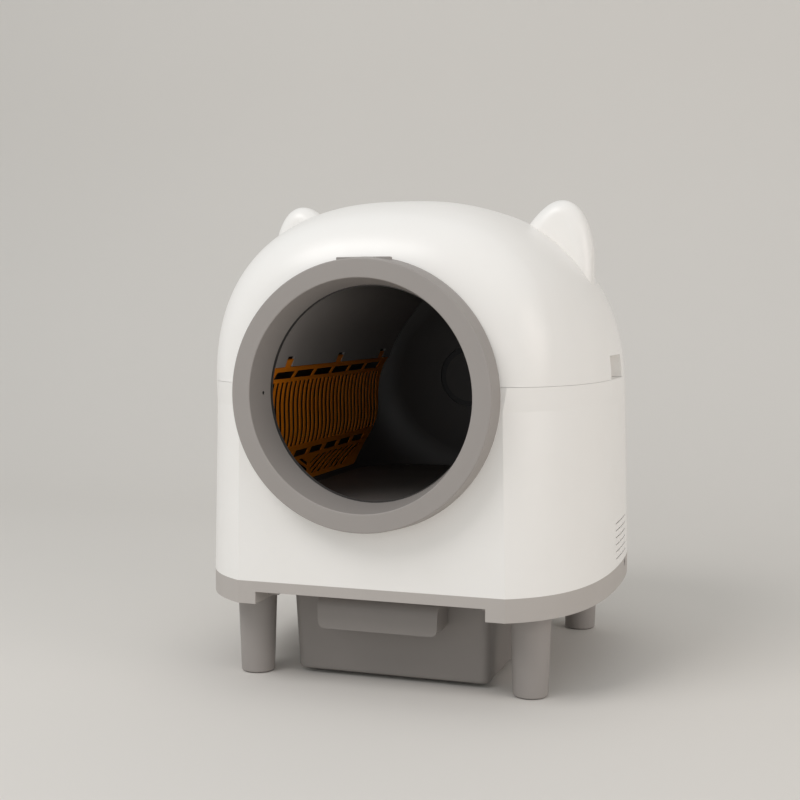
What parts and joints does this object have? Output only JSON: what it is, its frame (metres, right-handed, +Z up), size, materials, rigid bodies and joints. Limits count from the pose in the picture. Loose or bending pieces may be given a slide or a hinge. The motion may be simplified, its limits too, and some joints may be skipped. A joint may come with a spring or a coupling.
{
  "type": "self-cleaning litter box",
  "caption": "Self-cleaning cat litter box: rotating drum with a sieve in a lift-off shell on legs, with a round entrance and a slide-out waste bin.",
  "frame": {"origin": "centre of the bounding box's base, on the floor between the legs", "axes": "+Z up, the entrance and the bin's handle face -Y, +X is to the right seen from the front"},
  "size_m": [0.52, 0.546, 0.6041],
  "materials": {
    "white_shell": "satin white ABS",
    "grey_trim": "fine matte warm grey",
    "charcoal_drum": "smooth satin charcoal",
    "orange_sieve": "satin orange",
    "soft_rubber": "matte black rubber",
    "foot_rubber": "matte grey rubber",
    "plated_steel": "zinc plated",
    "motor_metal": "brushed",
    "gear_nylon": "natural nylon",
    "frame_black": "matte black",
    "board_green": "soldered board",
    "dark_lens": "gloss dark window"
  },
  "bodies": {
    "base": {"base_tray": "grey_trim", "lower_shell": "white_shell", "power_inlet": "grey_trim", "leg_front_left": "grey_trim", "leg_front_right": "grey_trim", "leg_rear_left": "grey_trim", "leg_rear_right": "grey_trim", "leg_pads": "foot_rubber", "leg_studs": "plated_steel", "entrance_ring": "grey_trim", "entrance_sensors": "dark_lens", "mouth_seal": "soft_rubber", "drive_motor": "motor_metal", "motor_bracket": "plated_steel", "motor_screws": "plated_steel", "roller_stand_left": "frame_black", "roller_stand_right": "frame_black", "roller_axles": "plated_steel", "stand_screws": "plated_steel", "hub_bearing": "frame_black", "bearing_screws": "plated_steel", "waste_chute": "frame_black", "bin_rail_left": "grey_trim", "bin_rail_right": "grey_trim", "rail_screws": "plated_steel", "fan_frame": "frame_black", "board_standoffs": "gear_nylon", "control_board": "board_green"},
    "lid": {"upper_shell": "white_shell", "ear_left": "white_shell", "ear_right": "white_shell"},
    "release": {"lid_release": "grey_trim"},
    "drum": {"drum_front": "charcoal_drum", "drum_rear": "charcoal_drum", "drum_hub": "charcoal_drum", "drum_hub_cap": "charcoal_drum", "ring_gear": "gear_nylon", "sieve": "orange_sieve", "sieve_panel": "charcoal_drum", "drum_floor": "charcoal_drum"},
    "pinion": {"drive_pinion": "gear_nylon"},
    "roller_left": {"support_roller_left": "soft_rubber"},
    "roller_right": {"support_roller_right": "soft_rubber"},
    "bin": {"waste_bin": "grey_trim"},
    "fan": {"fan_rotor": "frame_black"}
  },
  "joints": [
    {"name": "drum_spin", "type": "hinge", "parent": "base", "child": "drum", "pos_m": [0, 0, 0.3635], "axis": [0, 1, 0], "continuous": true},
    {"name": "pinion_spin", "type": "hinge", "parent": "base", "child": "pinion", "pos_m": [0.15427, 0.067, 0.17965], "axis": [0, 1, 0], "continuous": true},
    {"name": "roller_left_spin", "type": "hinge", "parent": "base", "child": "roller_left", "pos_m": [-0.11966, -0.094, 0.17201], "axis": [0, 1, 0], "continuous": true},
    {"name": "roller_right_spin", "type": "hinge", "parent": "base", "child": "roller_right", "pos_m": [0.11966, -0.094, 0.17201], "axis": [0, 1, 0], "continuous": true},
    {"name": "fan_spin", "type": "hinge", "parent": "base", "child": "fan", "pos_m": [0.2464, 0.015, 0.1665], "axis": [1, 0, 0], "continuous": true},
    {"name": "bin_slide", "type": "slide", "parent": "base", "child": "bin", "axis": [0, -1, 0], "range_m": [0, 0.31]},
    {"name": "lid_lift", "type": "slide", "parent": "base", "child": "lid", "axis": [0, 0, 1], "range_m": [0, 0.25]},
    {"name": "lid_release_press", "type": "slide", "parent": "base", "child": "release", "axis": [0, 0, -1], "range_m": [0, 0.0025], "stiffness_N_per_m": 600}
  ],
  "couplings": [
    {"joint": "pinion_spin", "follows": "drum_spin", "ratio": -7},
    {"joint": "roller_left_spin", "follows": "drum_spin", "ratio": -10},
    {"joint": "roller_right_spin", "follows": "drum_spin", "ratio": -10}
  ]
}
